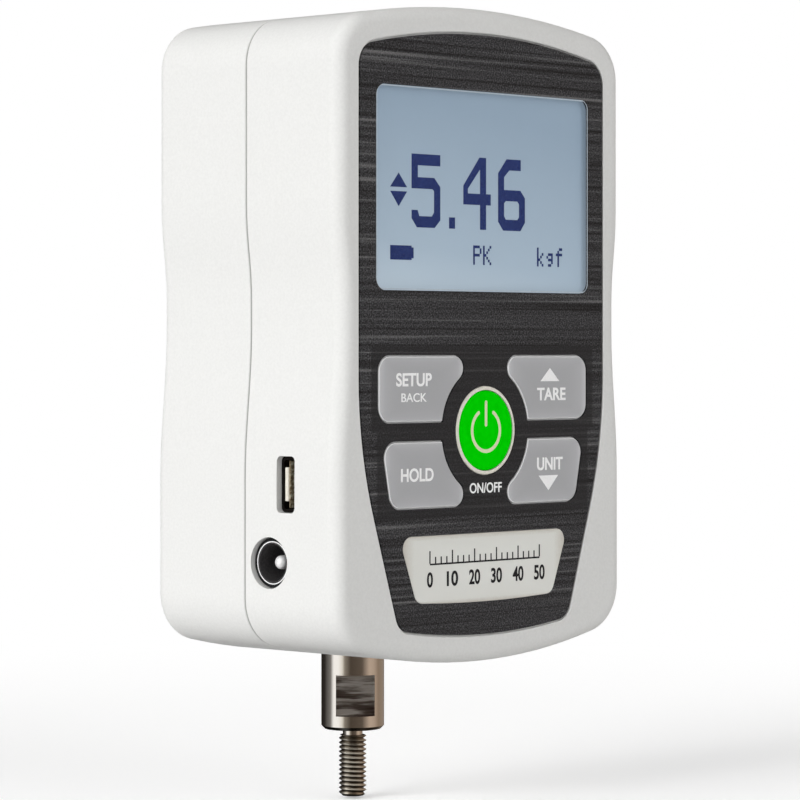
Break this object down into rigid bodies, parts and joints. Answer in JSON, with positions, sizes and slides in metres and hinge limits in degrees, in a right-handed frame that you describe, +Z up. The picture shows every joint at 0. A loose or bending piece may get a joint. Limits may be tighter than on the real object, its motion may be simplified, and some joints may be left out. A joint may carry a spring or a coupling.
{
  "type": "force gauge",
  "caption": "Hand-held digital force gauge: two-part painted housing, LCD over a keypad, side sockets, and a steel loading shaft with a threaded stud below.",
  "frame": {"origin": "centre of the dowel hole in the flat rear face", "axes": "+Z up, against the loading shaft; +Y out of the rear face; +X to the right seen from the front"},
  "size_m": [0.0728, 0.0435, 0.1368],
  "materials": {
    "housing_paint": "matte",
    "faceplate_film": "satin",
    "window_clear": "gloss",
    "label_film": "satin",
    "key_grey": "satin",
    "key_green": "satin",
    "ring_white": "satin",
    "lcd_glass": "gloss",
    "backlight_acrylic": "gloss",
    "plated_sheet": "satin",
    "circuit_board": "satin",
    "black_plastic": "matte",
    "zinc_screws": "satin",
    "stainless_steel": "satin",
    "aluminium_beam": "satin",
    "gauge_foil": "satin",
    "socket_shell": "satin",
    "nickel_pin": "gloss",
    "battery_wrap": "satin",
    "foam": "matte",
    "lead_sheath": "matte"
  },
  "bodies": {
    "housing": {"front_housing": "housing_paint", "rear_housing": "housing_paint", "faceplate_overlay": "faceplate_film", "display_window": "window_clear", "rating_label": "label_film", "power_ring": "ring_white", "lcd_glass": "lcd_glass", "lcd_backlight": "backlight_acrylic", "lcd_tray": "plated_sheet", "main_board": "circuit_board", "tact_switches": "black_plastic", "board_chips": "black_plastic", "board_screws": "zinc_screws", "captive_screws": "zinc_screws", "captive_rings": "zinc_screws", "mounting_inserts": "stainless_steel", "dowel_insert": "stainless_steel", "load_cell": "aluminium_beam", "strain_gauges": "gauge_foil", "load_cell_screws": "zinc_screws", "battery_pack": "battery_wrap", "battery_pad": "foam", "battery_bracket": "plated_sheet", "bracket_screws": "zinc_screws", "battery_plug": "black_plastic", "sensor_connector": "black_plastic", "sensor_lead": "lead_sheath", "battery_lead": "lead_sheath", "usb_shell": "socket_shell", "usb_tongue": "black_plastic", "power_jack_body": "black_plastic", "power_jack_pin": "nickel_pin"},
    "setup_key": {"setup_key": "key_grey"},
    "tare_key": {"tare_key": "key_grey"},
    "hold_key": {"hold_key": "key_grey"},
    "units_key": {"units_key": "key_grey"},
    "power_key": {"power_key": "key_green"},
    "shaft": {"loading_shaft": "stainless_steel"}
  },
  "joints": [
    {"name": "setup_key_press", "type": "slide", "parent": "housing", "child": "setup_key", "axis": [0, 1, 0], "range_m": [0, 0.0005], "stiffness_N_per_m": 400, "springref_m": -0.0005},
    {"name": "tare_key_press", "type": "slide", "parent": "housing", "child": "tare_key", "axis": [0, 1, 0], "range_m": [0, 0.0005], "stiffness_N_per_m": 400, "springref_m": -0.0005},
    {"name": "hold_key_press", "type": "slide", "parent": "housing", "child": "hold_key", "axis": [0, 1, 0], "range_m": [0, 0.0005], "stiffness_N_per_m": 400, "springref_m": -0.0005},
    {"name": "units_key_press", "type": "slide", "parent": "housing", "child": "units_key", "axis": [0, 1, 0], "range_m": [0, 0.0005], "stiffness_N_per_m": 400, "springref_m": -0.0005},
    {"name": "power_key_press", "type": "slide", "parent": "housing", "child": "power_key", "axis": [0, 1, 0], "range_m": [0, 0.0005], "stiffness_N_per_m": 400, "springref_m": -0.0005},
    {"name": "shaft_load_travel", "type": "slide", "parent": "housing", "child": "shaft", "axis": [0, 0, 1], "range_m": [-0.00025, 0.00025], "stiffness_N_per_m": 4000, "deforming": ["load_cell"]}
  ]
}
